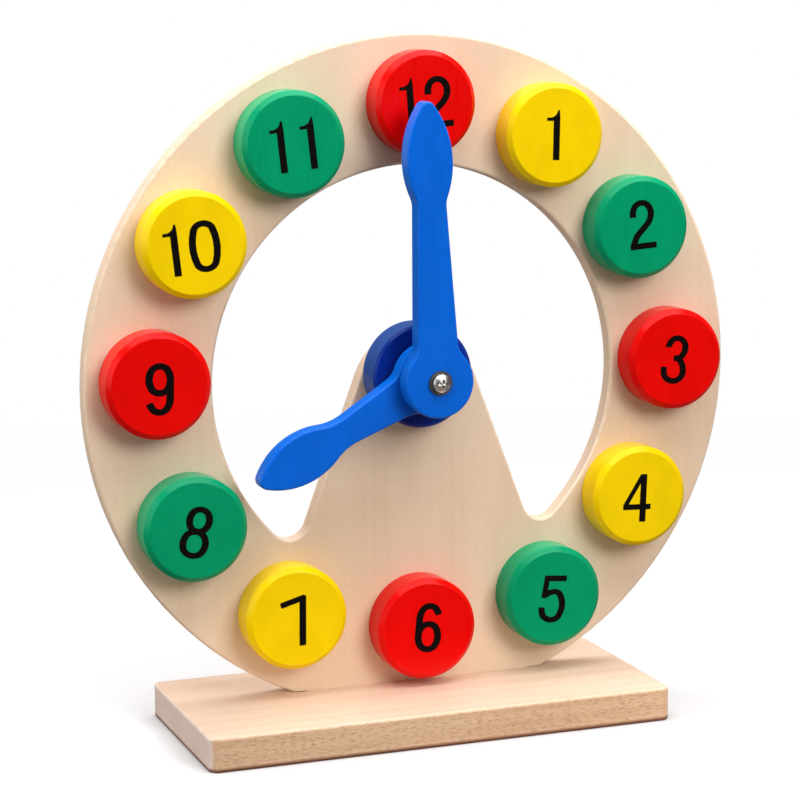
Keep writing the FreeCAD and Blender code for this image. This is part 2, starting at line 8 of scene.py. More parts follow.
import bmesh
import bpy
from mathutils import Matrix, Vector


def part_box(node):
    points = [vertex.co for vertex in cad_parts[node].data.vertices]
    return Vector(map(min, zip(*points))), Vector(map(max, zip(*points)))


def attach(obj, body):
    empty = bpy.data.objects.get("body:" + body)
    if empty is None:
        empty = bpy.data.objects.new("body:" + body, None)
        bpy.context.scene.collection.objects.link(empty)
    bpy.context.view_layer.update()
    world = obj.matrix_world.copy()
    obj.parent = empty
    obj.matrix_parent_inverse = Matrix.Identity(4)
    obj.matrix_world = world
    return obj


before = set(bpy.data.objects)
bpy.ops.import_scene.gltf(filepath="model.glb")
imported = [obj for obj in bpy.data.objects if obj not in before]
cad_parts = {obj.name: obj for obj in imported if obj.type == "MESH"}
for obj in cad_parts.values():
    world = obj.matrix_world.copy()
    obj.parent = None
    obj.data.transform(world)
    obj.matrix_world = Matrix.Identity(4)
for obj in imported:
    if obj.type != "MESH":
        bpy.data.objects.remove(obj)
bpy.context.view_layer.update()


# ---------------------------------------------------------------------------------------- base board
# A plank of steamed beech, planed, sanded and left with a thin matt lacquer. The grain runs along the
# board, so the front shows the short dark flecks of beech, and its two ends show end grain. Light is
# painted on it: the plank is brightened towards its right end, and its lower arris has a painted shadow.

MILLIMETRE = 0.001

# Each kind of face has a pale tone and the darker tone of its streaks. The tones differ by grain and by
# painted light: the front's is deeper and the ends' paler, as the light falls on them.
BEECH_TOP = ((233, 207, 186), (215, 182, 155))
BEECH_SIDE_GRAIN_AND_SHADE = ((240, 202, 165), (218, 174, 135))
BEECH_END_GRAIN_AND_LIGHT = ((244, 224, 212), (232, 206, 190))
BEECH_ARRIS_SHADE = (158, 106, 78)
BEECH_FLECK = (158, 84, 46)
BEECH_RINGS = 0.22
BEECH_STREAKS = 0.24
BEECH_FLECKS_ON_TOP = 0.1
BEECH_FLECKS_ON_SIDE = 0.42
BEECH_PAINTED_LIGHT_AT_LEFT = 0.93
BEECH_PAINTED_LIGHT_AT_RIGHT = 1.13
BEECH_PITH = (0.0, 14.0, -46.0)
ARRIS_STARTS = 1.7 * MILLIMETRE
ARRIS_DARKEST = 0.7 * MILLIMETRE

# How far the surface's normal reaches along an axis, from -1 to 1, where a kind of face starts and where
# it is full.
FACE_STARTS = 0.5
FACE_FULL = 0.85
UNDERSIDE = -0.99
NOT_UNDERSIDE = -0.9

# A pattern is noise as a mask: its cycles per millimetre along X, Y and Z, its detail, and the two levels
# of the noise at which the mask starts and is full. In timber the grain runs along X.
STREAK_PATTERN = ((0.012, 0.9, 0.9), 4.0, 0.36, 0.64)
CLOUD_PATTERN = ((0.014, 0.06, 0.06), 2.0, 0.38, 0.62)
PORE_PATTERN = ((0.4, 3.2, 3.2), 2.0, 0.5, 0.68)
CLOUD_SHARE = 0.3

RING_STRETCH = (0.08, 1.0, 1.0)
RING_WAVE = {"Scale": 0.085, "Distortion": 2.4, "Detail": 2.0, "Detail Scale": 0.9}
GRAIN_WANDER = (0.0, 5.0, 5.0)
GRAIN_WANDER_NOISE = {"Scale": 0.07, "Detail": 1.0}

# A fleck fills the middle of a cell, and each cell draws a number from 0 to 1 for how strong its fleck is.
FLECK_CELLS = (0.34, 1.9, 1.9)
FLECK_RIM = 0.46
FLECK_CORE = 0.2
NO_FLECK_BELOW = 0.15
FULL_FLECK_ABOVE = 0.75
FAINTEST_PORES = 0.06
STRONGEST_PORES = 0.72

# Heights are in millimetres, here and in every other finish.
STREAK_RISE = 0.012
PORE_DEPTH = 0.008
TIMBER_ROUGHNESS = (0.46, 0.58)


def paint_code(red, green, blue):
    """A colour as it is named on a screen, 0 to 255, as the linear colour that a shader takes."""
    parts = [value / 255 for value in (red, green, blue)]
    linear = [part / 12.92 if part <= 0.04045 else ((part + 0.055) / 1.055) ** 2.4 for part in parts]
    return (*linear, 1.0)


def add_node(tree, kind, sockets=None, **properties):
    """A shader node with its properties set and each socket, by name or number, given a value or link."""
    node = tree.nodes.new("ShaderNode" + kind)
    for name, value in properties.items():
        setattr(node, name, value)
    for socket, value in (sockets or {}).items():
        if isinstance(value, bpy.types.NodeSocket):
            tree.links.new(value, node.inputs[socket])
        else:
            node.inputs[socket].default_value = value
    return node


def calculate(tree, operation, first, second=0.0):
    """The result of one step of arithmetic."""
    return add_node(tree, "Math", {0: first, 1: second}, operation=operation).outputs[0]


def times(tree, first, second):
    """Two values multiplied."""
    return calculate(tree, "MULTIPLY", first, second)


def stretched(tree, place, factors):
    """A position multiplied along each axis: small factors draw a pattern out along that axis."""
    return add_node(tree, "VectorMath", {0: place, 1: factors}, operation="MULTIPLY").outputs[0]


def ramp(tree, value, start, full):
    """A mask that goes smoothly from 0, where the value is at start, to 1, where it is at full."""
    sockets = {"Value": value, "From Min": start, "From Max": full}
    return add_node(tree, "MapRange", sockets, interpolation_type="SMOOTHSTEP").outputs["Result"]


def spread(tree, mask, least, most):
    """A mask as a value between a least and a most."""
    return add_node(tree, "MapRange", {"Value": mask, "To Min": least, "To Max": most}).outputs["Result"]


def noise(tree, place, cycles, detail):
    """Noise between about 0.3 and 0.7, with so many cycles per millimetre along each axis."""
    sockets = {"Vector": stretched(tree, place, cycles), "Scale": 1.0, "Detail": detail}
    return add_node(tree, "TexNoise", sockets).outputs["Fac"]


def pattern(tree, place, cycles, detail, start, full):
    """Noise as a mask."""
    return ramp(tree, noise(tree, place, cycles, detail), start, full)


def blended(tree, share, first, second):
    """The second colour laid over the first by a share."""
    return add_node(tree, "Mix", {0: share, 6: first, 7: second}, data_type="RGBA").outputs[2]


def shaded(tree, colour, value):
    """A colour made darker by a value under 1 or lighter by one over 1."""
    return add_node(tree, "HueSaturation", {"Color": colour, "Value": value}).outputs["Color"]


def new_group(name, inputs, outputs):
    """A shader node group with named sockets: its tree, its inputs by name and its output node."""
    tree = bpy.data.node_groups.new(name, "ShaderNodeTree")
    kinds = {"vector": "NodeSocketVector", "colour": "NodeSocketColor", "value": "NodeSocketFloat"}
    for socket, kind in inputs.items():
        tree.interface.new_socket(socket, in_out="INPUT", socket_type=kinds[kind])
    for socket, kind in outputs.items():
        tree.interface.new_socket(socket, in_out="OUTPUT", socket_type=kinds[kind])
    group_in = tree.nodes.new("NodeGroupInput")
    group_out = tree.nodes.new("NodeGroupOutput")
    return tree, group_in.outputs, group_out


FINISH = {"Color": "colour", "Roughness": "value", "Height": "value"}


def timber_group():
    """Bare timber with its grain along X and its pith on the X axis, for a position in millimetres."""
    inputs = {"Place": "vector", "Pale": "colour", "Dark": "colour", "Fleck": "colour",
              "Rings": "value", "Streaks": "value", "Flecks": "value"}
    tree, given, out = new_group("timber", inputs, FINISH)
    place = given["Place"]

    sockets = {"Vector": stretched(tree, place, RING_STRETCH), **RING_WAVE}
    rings = add_node(tree, "TexWave", sockets, wave_type="RINGS", rings_direction="X").outputs["Fac"]
    rings = times(tree, rings, given["Rings"])
    streaks = times(tree, pattern(tree, place, *STREAK_PATTERN), given["Streaks"])
    clouds = times(tree, pattern(tree, place, *CLOUD_PATTERN), CLOUD_SHARE)
    darkness = calculate(tree, "ADD", calculate(tree, "ADD", rings, streaks), clouds)
    colour = blended(tree, darkness, given["Pale"], given["Dark"])

    wander = add_node(tree, "TexNoise", {"Vector": place, **GRAIN_WANDER_NOISE}).outputs["Color"]
    sockets = {0: wander, 1: GRAIN_WANDER, 2: place}
    wavy = add_node(tree, "VectorMath", sockets, operation="MULTIPLY_ADD").outputs[0]
    cells = stretched(tree, wavy, FLECK_CELLS)
    cell = add_node(tree, "TexVoronoi", {"Vector": cells, "Scale": 1.0}, feature="F1")
    chance = add_node(tree, "SeparateColor", {"Color": cell.outputs["Color"]}).outputs["Red"]
    flecks = times(tree, ramp(tree, cell.outputs["Distance"], FLECK_RIM, FLECK_CORE),
                   ramp(tree, chance, NO_FLECK_BELOW, FULL_FLECK_ABOVE))
    flecks = times(tree, flecks, given["Flecks"])
    pores = pattern(tree, wavy, *PORE_PATTERN)
    pore_share = spread(tree, given["Flecks"], FAINTEST_PORES, STRONGEST_PORES)
    marks = calculate(tree, "MAXIMUM", flecks, times(tree, pores, pore_share))
    colour = blended(tree, marks, colour, given["Fleck"])

    height = calculate(tree, "SUBTRACT", times(tree, streaks, STREAK_RISE), times(tree, pores, PORE_DEPTH))
    tree.links.new(colour, out.inputs["Color"])
    tree.links.new(spread(tree, streaks, *TIMBER_ROUGHNESS), out.inputs["Roughness"])
    tree.links.new(height, out.inputs["Height"])
    return tree


TIMBER = timber_group()


def place_in_millimetres(tree, shift=(0.0, 0.0, 0.0), turn=(0.0, 0.0, 0.0)):
    """The place on the piece in millimetres, first turned by angles in degrees and then shifted."""
    where = add_node(tree, "TexCoord").outputs["Object"]
    sockets = {"Vector": where, "Location": shift, "Scale": (1 / MILLIMETRE,) * 3,
               "Rotation": [math.radians(angle) for angle in turn]}
    return add_node(tree, "Mapping", sockets, vector_type="POINT").outputs[0]


def axes_of(tree, what):
    """The X, Y and Z of the place on the piece, Object, or of the way its surface faces, Normal."""
    return add_node(tree, "SeparateXYZ", {"Vector": add_node(tree, "TexCoord").outputs[what]}).outputs


def facing(tree, axis, start, full):
    """A mask of how squarely the surface faces along an axis, to either side."""
    return ramp(tree, calculate(tree, "ABSOLUTE", axes_of(tree, "Normal")[axis]), start, full)


def new_finish(name):
    """A material, its tree, its shader and a bump node that takes a height in millimetres."""
    material = bpy.data.materials.new(name)
    material.use_nodes = True
    tree = material.node_tree
    shader = tree.nodes["Principled BSDF"]
    bump = add_node(tree, "Bump", {"Strength": 1.0, "Distance": MILLIMETRE})
    tree.links.new(bump.outputs["Normal"], shader.inputs["Normal"])
    return material, tree, shader, bump


def join_finish(tree, shader, bump, colour, roughness, height):
    """Joins a finish's colour, roughness and height to the shader."""
    tree.links.new(colour, shader.inputs["Base Color"])
    tree.links.new(roughness, shader.inputs["Roughness"])
    tree.links.new(height, bump.inputs["Height"])


def dress(node, material):
    """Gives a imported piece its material."""
    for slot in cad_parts[node].material_slots:
        slot.material = material


def lacquered_beech():
    """Beech with flecks on its front and back, end grain at its ends, and painted light and shade."""
    material, tree, shader, bump = new_finish("beech_lacquered")
    where = axes_of(tree, "Object")
    end = facing(tree, "X", FACE_STARTS, FACE_FULL)
    side = facing(tree, "Y", FACE_STARTS, FACE_FULL)
    # Painted shade: the rounded lower arris, just above the underside, is darkened where little light
    # reaches.
    arris = times(tree, ramp(tree, where["Z"], ARRIS_STARTS, ARRIS_DARKEST),
                  ramp(tree, axes_of(tree, "Normal")["Z"], UNDERSIDE, NOT_UNDERSIDE))
    # Painted light: each kind of face takes its own tone, lighter or darker as the light falls on it.
    tones = []
    for top_tone, side_shaded_tone, end_lit_tone in zip(BEECH_TOP, BEECH_SIDE_GRAIN_AND_SHADE, BEECH_END_GRAIN_AND_LIGHT):
        tone = blended(tree, side, paint_code(*top_tone), paint_code(*side_shaded_tone))
        tone = blended(tree, end, tone, paint_code(*end_lit_tone))
        tones.append(blended(tree, arris, tone, paint_code(*BEECH_ARRIS_SHADE)))
    sockets = {"Place": place_in_millimetres(tree, shift=[-value for value in BEECH_PITH]),
               "Pale": tones[0], "Dark": tones[1], "Fleck": paint_code(*BEECH_FLECK),
               "Rings": BEECH_RINGS, "Streaks": BEECH_STREAKS,
               "Flecks": spread(tree, side, BEECH_FLECKS_ON_TOP, BEECH_FLECKS_ON_SIDE)}
    wood = add_node(tree, "Group", sockets, node_tree=TIMBER).outputs

    # Painted light and shade: the board is darkened at its left end and brightened towards its right.
    low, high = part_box("base_board")
    sockets = {"Value": where["X"], "From Min": low.x, "From Max": high.x,
               "To Min": BEECH_PAINTED_LIGHT_AT_LEFT, "To Max": BEECH_PAINTED_LIGHT_AT_RIGHT}
    value = add_node(tree, "MapRange", sockets).outputs["Result"]
    join_finish(tree, shader, bump, shaded(tree, wood["Color"], value), wood["Roughness"], wood["Height"])
    return material


dress("base_board", lacquered_beech())


# ---------------------------------------------------------------------------------------- dial plate
# Five-ply birch plywood cut with a fine saw and sanded. The face veneer's grain runs up the plate, and
# the sawn edge shows the plies: three with their grain up the plate, two across it between them.

BIRCH_PALE = (236, 211, 184)
BIRCH_DARK = (221, 190, 158)
BIRCH_FLECK = (198, 164, 130)
BIRCH_RINGS = 0.04
BIRCH_STREAKS = 0.08
BIRCH_FLECKS = 0.08
# The veneer's pith lies far off, so its figure runs nearly straight.
BIRCH_SHIFT = (0.0, 0.0, 320.0)
GRAIN_UPRIGHT = (0.0, 90.0, 0.0)

PLY_COUNT = 5
CROSS_PLY = (228, 204, 180)
CROSS_PLY_SHOWS = 0.7
GLUE_LINE = (208, 180, 152)
GLUE_LINE_SHOWS = 0.5
GLUE_SHARE_OF_PLY = 0.08
EDGE_STARTS = 0.75
EDGE_FULL = 0.45


def sanded_plywood():
    """Birch veneer on both faces, with the plies and the glue between them where the edge is sawn."""
    material, tree, shader, bump = new_finish("birch_plywood_sanded")
    sockets = {"Place": place_in_millimetres(tree, shift=BIRCH_SHIFT, turn=GRAIN_UPRIGHT),
               "Pale": paint_code(*BIRCH_PALE), "Dark": paint_code(*BIRCH_DARK),
               "Fleck": paint_code(*BIRCH_FLECK), "Rings": BIRCH_RINGS, "Streaks": BIRCH_STREAKS,
               "Flecks": BIRCH_FLECKS}
    wood = add_node(tree, "Group", sockets, node_tree=TIMBER).outputs

    low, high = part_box("dial_plate")
    sockets = {"Value": axes_of(tree, "Object")["Y"], "From Min": low.y, "From Max": high.y,
               "To Max": float(PLY_COUNT)}
    plies = add_node(tree, "MapRange", sockets).outputs["Result"]
    second_of_two = calculate(tree, "FRACT", times(tree, plies, 0.5))
    cross = calculate(tree, "GREATER_THAN", second_of_two, 0.5)
    within = calculate(tree, "FRACT", plies)
    glue = calculate(tree, "MAXIMUM", ramp(tree, within, GLUE_SHARE_OF_PLY, 0.0),
                     ramp(tree, within, 1.0 - GLUE_SHARE_OF_PLY, 1.0))
    edge = facing(tree, "Y", EDGE_STARTS, EDGE_FULL)
    colour = wood["Color"]
    for mask, tone, shows in ((cross, CROSS_PLY, CROSS_PLY_SHOWS), (glue, GLUE_LINE, GLUE_LINE_SHOWS)):
        share = times(tree, times(tree, mask, edge), shows)
        colour = blended(tree, share, colour, paint_code(*tone))
    join_finish(tree, shader, bump, colour, wood["Roughness"], wood["Height"])
    return material


dress("dial_plate", sanded_plywood())


# ---------------------------------------------------------------------------------------- number discs
# Turned from beech rod with a chamfered front, dipped in thick paint and glued to the plate. The grain
# shows through the paint as fine upright lines. Along the sharp rims the paint is thinner and a painted
# highlight lies on it, and the sides take their own colours as painted light: the green's are lighter.

# The discs take these in turn, and red goes to 3, 6, 9 and 12. Each has the colour of the face, of the
# paint where it is thin, and of the sides, which is painted light.
DISC_PAINTS = {
    "red": ((230, 2, 0), (242, 40, 32), (230, 4, 0)),
    "yellow": ((246, 208, 0), (252, 222, 30), (246, 206, 0)),
    "green": ((0, 148, 99), (24, 184, 134), (2, 162, 108)),
}
HOURS = range(1, 13)

PAINT_GRAIN = ((2.2, 2.2, 0.09), 3.0, 0.36, 0.64)
PAINT_CLOUDS = ((0.09, 0.09, 0.05), 2.0, 0.35, 0.65)
PAINT_WEAR = ((0.8, 0.8, 0.8), 3.0, 0.35, 0.6)
PEEL_CYCLES = (0.9, 0.9, 0.9)
PEEL_DETAIL = 2.0
PIT_CYCLES = 0.55
PIT_RIM = 0.11
PIT_CORE = 0.03

RIM_ROUNDING = 0.5 * MILLIMETRE
RIM_SAMPLES = 6
RIM_STARTS = 0.995
RIM_FULL = 0.93
RIM_SHOWS = 0.75
GRAIN_SHOWS = 0.09
CLOUD_VALUES = (0.95, 1.03)

PAINT_GRAIN_RISE = 0.008
PEEL_RISE = 0.02
PIT_DEPTH = 0.02
PAINT_ROUGHNESS = (0.17, 0.24)
PAINT_SPECULAR = 0.12
SIDE_STARTS = 0.5
SIDE_FULL = 0.2


def paint_group():
    """Paint on wood with upright grain, for a position in millimetres."""
    inputs = {"Place": "vector", "Paint": "colour", "Thin": "colour", "Grain": "value"}
    tree, given, out = new_group("paint_film", inputs, FINISH)
    place = given["Place"]
    grain = pattern(tree, place, *PAINT_GRAIN)
    grain_share = times(tree, grain, given["Grain"])

    # The rims take the thin colour: the paint is thinner there, and this is also a painted highlight on the
    # rounded edges.
    rounded = add_node(tree, "Bevel", {"Radius": RIM_ROUNDING}, samples=RIM_SAMPLES).outputs["Normal"]
    surface = add_node(tree, "NewGeometry").outputs["Normal"]
    along = add_node(tree, "VectorMath", {0: rounded, 1: surface}, operation="DOT_PRODUCT").outputs["Value"]
    thin_rim_and_highlight = times(tree, ramp(tree, along, RIM_STARTS, RIM_FULL), pattern(tree, place, *PAINT_WEAR))
    thinness = calculate(tree, "MAXIMUM", times(tree, thin_rim_and_highlight, RIM_SHOWS),
                         times(tree, grain_share, GRAIN_SHOWS))
    colour = blended(tree, thinness, given["Paint"], given["Thin"])
    colour = shaded(tree, colour, spread(tree, pattern(tree, place, *PAINT_CLOUDS), *CLOUD_VALUES))

    peel = noise(tree, place, PEEL_CYCLES, PEEL_DETAIL)
    pits = add_node(tree, "TexVoronoi", {"Vector": place, "Scale": PIT_CYCLES}, feature="F1")
    pits = ramp(tree, pits.outputs["Distance"], PIT_RIM, PIT_CORE)
    height = calculate(tree, "ADD", times(tree, grain_share, PAINT_GRAIN_RISE),
                       times(tree, peel, PEEL_RISE))
    height = calculate(tree, "SUBTRACT", height, times(tree, pits, PIT_DEPTH))
    tree.links.new(colour, out.inputs["Color"])
    tree.links.new(spread(tree, grain, *PAINT_ROUGHNESS), out.inputs["Roughness"])
    tree.links.new(height, out.inputs["Height"])
    return tree


PAINT_FILM = paint_group()


def painted(name, paint, thin, side, grain=1.0):
    """A painted finish: the colour of the face, of the paint where it is thin, and of the sides as painted
    light.
    """
    material, tree, shader, bump = new_finish(name)
    # Painted light: the sides take their own colour, standing in for the light on the walls.
    sides_painted_light = facing(tree, "Y", SIDE_STARTS, SIDE_FULL)
    sockets = {"Place": place_in_millimetres(tree), "Thin": paint_code(*thin), "Grain": grain,
               "Paint": blended(tree, sides_painted_light, paint_code(*paint), paint_code(*side))}
    film = add_node(tree, "Group", sockets, node_tree=PAINT_FILM).outputs
    join_finish(tree, shader, bump, film["Color"], film["Roughness"], film["Height"])
    shader.inputs["Specular IOR Level"].default_value = PAINT_SPECULAR
    return material


disc_paint = [painted(f"{colour}_paint_gloss", *tones) for colour, tones in DISC_PAINTS.items()]
for hour in HOURS:
    dress(f"number_disc_{hour:02d}", disc_paint[hour % len(disc_paint)])


# ---------------------------------------------------------------------------------------- numerals
# Black ink printed through a screen on each disc's face: narrow upright digits about half as high as
# the disc is wide. The discs were glued on by eye, so each number leans and sits a little differently.

# Sizes are in millimetres and angles in degrees. Digits are drawn narrow and widened afterwards.
PEN = 1.8
WIDENED = 1.2
INK_PROUD = 0.04
INK_SUNK = 0.02
ARC_STEP = 7.5
CORNER_ROUNDING = 0.34
CORNER_SEGMENTS = 3
SHARP_CORNER = 50.0
MERGED_WITHIN = 0.001
FRONT = (0, -1, 0)


def ink_stroke(start, heading, moves, pen=PEN):
    """One closed slab of ink that a pen leaves, in an XZ plane: each move is a straight run (length, 0)
    or an arc (radius, degrees turned, positive to the left)."""
    ink = bmesh.new()
    point = Vector((start[0], INK_SUNK, start[1]))
    left = Matrix.Rotation(math.radians(heading), 3, FRONT) @ Vector((0, 0, 1))
    corners = [ink.verts.new(point + left * side * pen / 2) for side in (1, -1)]
    tip = [*corners, ink.edges.new(corners)]
    for size, turned in moves:
        centre = point + left * math.copysign(size, turned)
        run = Vector((left.z, 0, -left.x)) * size if turned == 0 else Vector()
        steps = max(1, math.ceil(abs(turned) / ARC_STEP))
        tip = bmesh.ops.spin(ink, geom=tip, cent=centre, axis=FRONT, dvec=run,
                             angle=math.radians(turned), steps=steps)["geom_last"]
        turn = Matrix.Rotation(math.radians(turned), 3, FRONT)
        point = point + run if turned == 0 else centre + turn @ (point - centre)
        left = turn @ left
    bmesh.ops.remove_doubles(ink, verts=ink.verts[:], dist=MERGED_WITHIN)
    raised = bmesh.ops.extrude_face_region(ink, geom=ink.faces[:])["geom"]
    raised = [part for part in raised if isinstance(part, bmesh.types.BMVert)]
    bmesh.ops.translate(ink, verts=raised, vec=(0, -INK_PROUD - INK_SUNK, 0))
    bmesh.ops.recalc_face_normals(ink, faces=ink.faces[:])
    return ink


def oval(centre, half_width, half_height, end_radius):
    """The closed stroke of an upright oval drawn with four arcs, from its top."""
    side = half_width ** 2 + half_height ** 2 - 2 * half_height * end_radius
    side = side / (2 * (half_width - end_radius))
    lean = math.degrees(math.atan2(side - half_width, half_height - end_radius))
    flank = 180 - 2 * lean
    top = (centre[0], centre[1] + half_height)
    half_end = (end_radius, -lean)
    return top, 0, [half_end, (side, -flank), (end_radius, -2 * lean), (side, -flank), half_end]


# The strokes of each digit: start, heading, moves and, where it isn't the usual one, the pen.
DIGITS = {
    "0": [oval((0, 0), 3.1, 6.75, 2.5)],
    "1": [((0, -7.65), 90, [(13.2, 0)]),
          ((0.4, 5), 90, [(1.85, 0)], 0.9),
          ((-2.75, 4.83), 0, [(2.2, 0)], 1),
          ((-2.4, 5), 0, [(0.3, 0), (2.6, 90)], 0.6)],
    "2": [((-2.8, 2.4), 90, [(1, 0), (4.2, -36), (2.2, -108), (4.2, -36), (5.5, -42), (3.6, 0), (4, 22),
                             (2.1, 0)]),
          ((-3.95, -6.75), 0, [(7.5, 0)], 1.9)],
    "3": [((-2, 3.8), 90, [(3.4, -43), (2.1, -94), (3.4, -43), (4.4, -35), (2, -55), (0.7, 0)]),
          ((-0.2, 0.4), 0, [(0.3, 0), (2.2, -60), (6.2, -30), (3.3, -45), (2.6, -90), (3.3, -45),
                            (1.3, 0)])],
    "4": [((1.88, 7.7), -90, [(15.4, 0)]),
          ((1.42, 7.1), -116, [(10.7, 0)], 1.33),
          ((-3.85, -2.85), 0, [(8, 0)])],
    "5": [((3.55, 6.6), 180, [(6.25, 0)]),
          ((-2, 7.4), -94.5, [(7.2, 0)], 1.52),
          ((-2.1, 1), 58, [(2.8, -58), (2, -65), (7.4, -25), (8.2, -25), (2.3, -65), (2.8, -70), (4.8, -20),
                           (0.55, 0)])],
    "6": [(*oval((0.1, -2.85), 2.7, 4, 2.3), 1.9),
          ((-2.6, -2.85), 90, [(80, -4.5), (5, -32), (2.1, -118.5), (1.8, 0)], 1.9)],
    "7": [((-2.8, 6.47), 1, [(6.8, 0)], 1.8),
          ((3.5, 7.25), -103.1, [(15.4, 0)])],
    "8": [oval((0, 3.65), 2.55, 3.36, 2.3),
          oval((0, -3.52), 2.9, 3.65, 2.7)],
}
# A nine is the six turned upside down.
SIX_TURNED = Matrix.Rotation(math.pi, 4, "Y")


def solid_digit(digit):
    """The strokes of one digit joined into one clean solid, as a mesh in millimetres."""
    strokes = []
    for number, stroke in enumerate(DIGITS[digit]):
        ink = ink_stroke(*stroke)
        mesh = bpy.data.meshes.new(f"stroke_{digit}_{number}")
        ink.to_mesh(mesh)
        ink.free()
        slab = bpy.data.objects.new(mesh.name, mesh)
        bpy.context.scene.collection.objects.link(slab)
        strokes.append(slab)
    for other in strokes[1:]:
        union = strokes[0].modifiers.new("join", "BOOLEAN")
        union.operation = "UNION"
        union.solver = "EXACT"
        union.object = other
    bpy.context.view_layer.update()
    whole = bpy.data.meshes.new_from_object(strokes[0].evaluated_get(bpy.context.evaluated_depsgraph_get()))
    for slab in strokes:
        bpy.data.objects.remove(slab)

    ink = bmesh.new()
    ink.from_mesh(whole)
    # The union numbers its corners differently in each run, so they are merged in the order of their places.
    placed = sorted(ink.verts, key=lambda corner: corner.co[:])
    bmesh.ops.remove_doubles(ink, verts=placed, dist=MERGED_WITHIN)
    corners = [edge for edge in ink.edges if abs((edge.verts[0].co - edge.verts[1].co).y) > INK_PROUD
               and edge.calc_face_angle_signed(0.0) > math.radians(SHARP_CORNER)]
    bmesh.ops.bevel(ink, geom=corners, offset=CORNER_ROUNDING, affect="EDGES", segments=CORNER_SEGMENTS,
                    profile=0.5, material=-1, clamp_overlap=True)
    stray = [edge for edge in ink.edges if edge.is_wire]
    bmesh.ops.delete(ink, geom=stray, context="EDGES")
    ink.to_mesh(whole)
    ink.free()
    return whole


digit_mesh = {digit: solid_digit(digit) for digit in DIGITS}

# For each hour: how far the number leans to the left in degrees, and where its middle sits from the
# middle of the disc, to the right and up. The two digits of a number stand one spacing apart.
NUMBER_LEAN = {1: -1.4, 2: 4, 3: -6, 4: -2.5, 5: -5, 6: -3, 7: 14.8, 8: -14.7, 9: 0.4, 10: 6, 11: 6, 12: 4}
NUMBER_MIDDLE = {1: (0.05, 0.1), 2: (0.15, 0.95), 3: (-0.9, 0.05), 4: (-1.4, -0.35), 5: (-0.6, -0.6),
                 6: (-0.1, 0.55), 7: (-0.6, -0.9), 8: (-0.15, -0.55), 9: (0.15, -0.7), 10: (-1.8, -0.75),
                 11: (0.55, -0.2), 12: (-0.75, 0.25)}
DIGIT_SPACING = {10: 9.0, 11: 9.4, 12: 9.1}

INK_FULL = (8, 6, 6)
INK_THIN = (18, 14, 12)
INK_MOTTLE = ((1.6, 1.6, 1.6), 3.0, 0.35, 0.65)
INK_RISE = 0.008
INK_ROUGHNESS = (0.2, 0.28)
INK_SPECULAR = 0.08


def screen_ink():
    """Black ink, slightly thinner in places."""
    material, tree, shader, bump = new_finish("screen_ink")
    mottle = pattern(tree, place_in_millimetres(tree), *INK_MOTTLE)
    colour = blended(tree, mottle, paint_code(*INK_FULL), paint_code(*INK_THIN))
    join_finish(tree, shader, bump, colour, spread(tree, mottle, *INK_ROUGHNESS),
                times(tree, mottle, INK_RISE))
    shader.inputs["Specular IOR Level"].default_value = INK_SPECULAR
    return material


ink_black = screen_ink()
for hour in HOURS:
    low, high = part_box(f"number_disc_{hour:02d}")
    middle = (low + high) / 2
    number = bmesh.new()
    digits = str(hour)
    for column, digit in enumerate(digits):
        across = (column - 0.5) * DIGIT_SPACING[hour] if len(digits) == 2 else 0.0
        shape = Matrix.Translation((across, 0, 0)) @ Matrix.Diagonal((WIDENED, 1.0, 1.0, 1.0))
        if digit == "9":
            shape = shape @ SIX_TURNED
        drawn = len(number.verts)
        number.from_mesh(digit_mesh["6" if digit == "9" else digit])
        bmesh.ops.transform(number, matrix=shape, verts=number.verts[:][drawn:])
    across, up = NUMBER_MIDDLE[hour]
    lean = Matrix.Rotation(math.radians(NUMBER_LEAN[hour]), 4, FRONT)
    seat = Matrix.Translation((middle.x + across * MILLIMETRE, low.y, middle.z + up * MILLIMETRE))
    number.transform(seat @ Matrix.Scale(MILLIMETRE, 4) @ lean)
    bmesh.ops.recalc_face_normals(number, faces=number.faces[:])
    mesh = bpy.data.meshes.new(f"numeral_{hour:02d}")
    number.to_mesh(mesh)
    number.free()
    numeral = bpy.data.objects.new(mesh.name, mesh)
    bpy.context.scene.collection.objects.link(numeral)
    mesh.materials.append(ink_black)
    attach(numeral, "clock_frame")


# ---------------------------------------------------------------------------------------- disc dowels
# Twelve pins cut from beech rod and glued through the plate into the discs. Only their sawn ends show,
# at the plate's back.

DOWEL_PALE = (226, 194, 158)
DOWEL_DARK = (200, 162, 124)
DOWEL_FLECK = (160, 118, 82)
DOWEL_RINGS = 0.4
DOWEL_STREAKS = 0.3
DOWEL_FLECKS = 0.4
DOWEL_SHIFT = (0.0, 3.0, 8.0)
GRAIN_BACKWARD = (0.0, 0.0, 90.0)


def sawn_dowel():
    """Beech with its grain from front to back."""
    material, tree, shader, bump = new_finish("dowel_beech")
    sockets = {"Place": place_in_millimetres(tree, shift=DOWEL_SHIFT, turn=GRAIN_BACKWARD),
               "Pale": paint_code(*DOWEL_PALE), "Dark": paint_code(*DOWEL_DARK),
               "Fleck": paint_code(*DOWEL_FLECK), "Rings": DOWEL_RINGS, "Streaks": DOWEL_STREAKS,
               "Flecks": DOWEL_FLECKS}
    wood = add_node(tree, "Group", sockets, node_tree=TIMBER).outputs
    join_finish(tree, shader, bump, wood["Color"], wood["Roughness"], wood["Height"])
    return material


dress("disc_dowels", sawn_dowel())


# ---------------------------------------------------------------------------------------- hub disc
# A turned disc like the number discs, painted navy, that holds the hands clear of the numerals. Its side
# is painted a lighter, greyer blue, as painted light and sheen on the wall.

NAVY = (6, 42, 138)
NAVY_THIN = (70, 112, 200)
NAVY_SIDE_PAINTED_LIGHT = (46, 82, 158)
NAVY_GRAIN = 0.5

dress("hub_disc", painted("navy_paint_gloss", NAVY, NAVY_THIN, NAVY_SIDE_PAINTED_LIGHT, NAVY_GRAIN))


